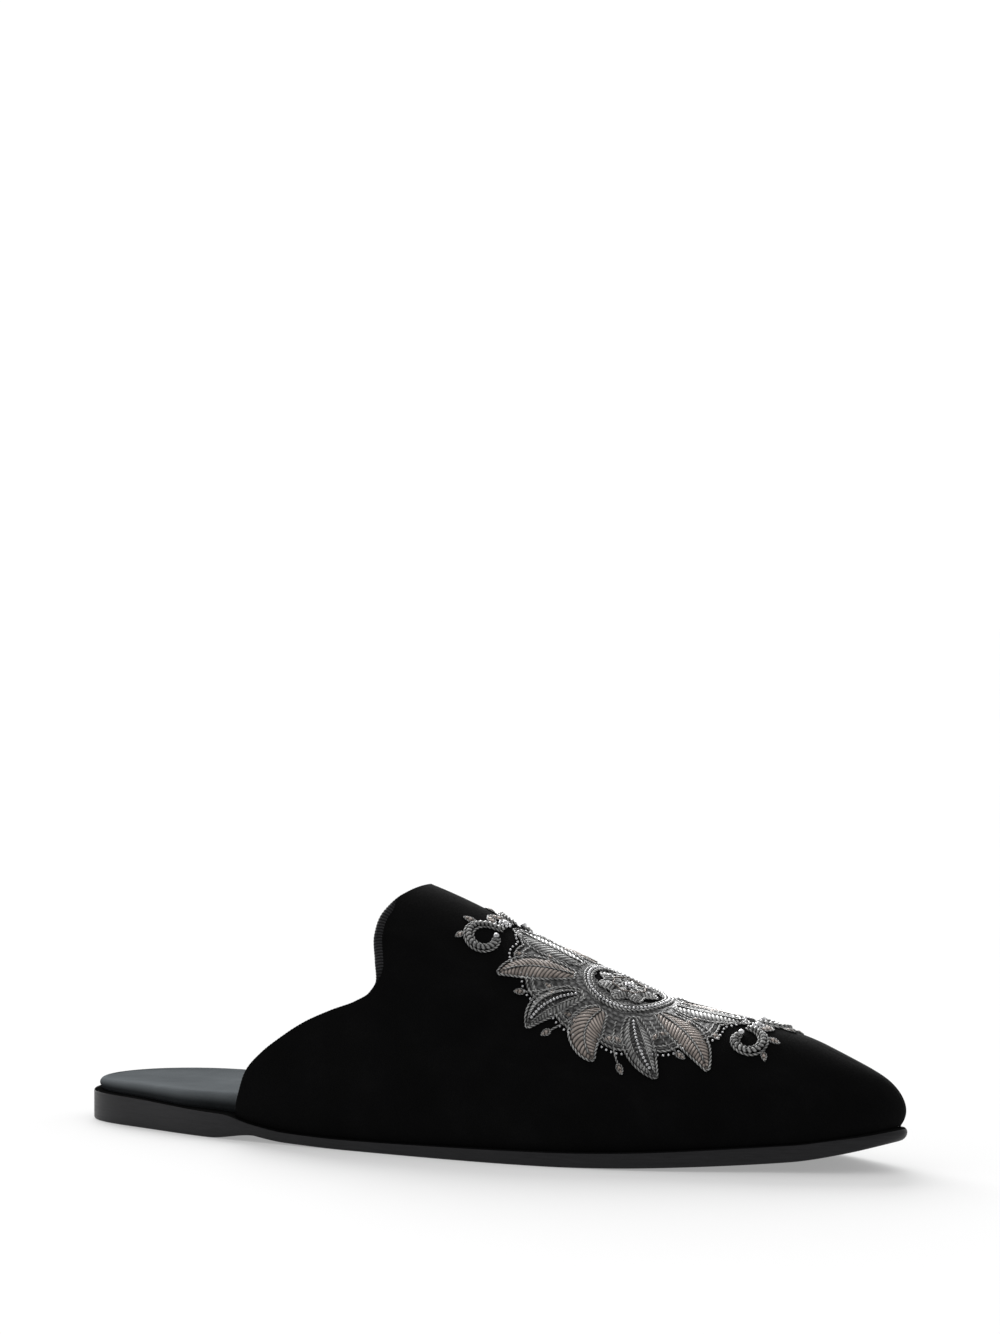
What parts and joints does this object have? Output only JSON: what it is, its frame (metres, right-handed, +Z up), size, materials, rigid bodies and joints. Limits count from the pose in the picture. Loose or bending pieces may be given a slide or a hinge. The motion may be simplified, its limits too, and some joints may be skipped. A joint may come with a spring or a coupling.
{
  "type": "babouche slipper",
  "caption": "Open-backed right slipper with a velvet upper, tongue tab, embroidered vamp, thin sole and low heel lift.",
  "frame": {"origin": "middle of the slipper's bounding box at floor level", "axes": "+X toward the toe, +Y toward the medial side (the shoe's left), +Z up"},
  "size_m": [0.3, 0.0922, 0.0833],
  "materials": {
    "sole": "black edge-finished leather, satin",
    "insole": "dark grey-green smooth leather, soft sheen",
    "velvet": "deep black short-pile velvet",
    "binding": "dark grey ribbed grosgrain",
    "silver_thread": "silver-grey metallic thread, wrapped",
    "leaf_thread": "pale taupe satin thread"
  },
  "bodies": {
    "root": {"outsole": "sole", "heel_lift": "sole", "insole": "insole", "upper": "velvet", "topline_binding": "binding", "embroidery_rosette": "silver_thread", "embroidery_ring": "silver_thread", "embroidery_instep_bud": "silver_thread", "embroidery_toe_bud": "silver_thread", "embroidery_instep_leaf_lateral": "leaf_thread", "embroidery_instep_leaf_medial": "leaf_thread", "embroidery_instep_frond_lateral": "silver_thread", "embroidery_instep_frond_medial": "silver_thread", "embroidery_instep_scroll_lateral": "silver_thread", "embroidery_instep_scroll_medial": "silver_thread", "embroidery_drop_lateral": "leaf_thread", "embroidery_drop_medial": "leaf_thread", "embroidery_toe_frond_lateral": "silver_thread", "embroidery_toe_frond_medial": "silver_thread", "embroidery_toe_leaf_lateral": "leaf_thread", "embroidery_toe_leaf_medial": "leaf_thread", "embroidery_toe_scroll_lateral": "silver_thread", "embroidery_toe_scroll_medial": "silver_thread"}
  },
  "joints": []
}
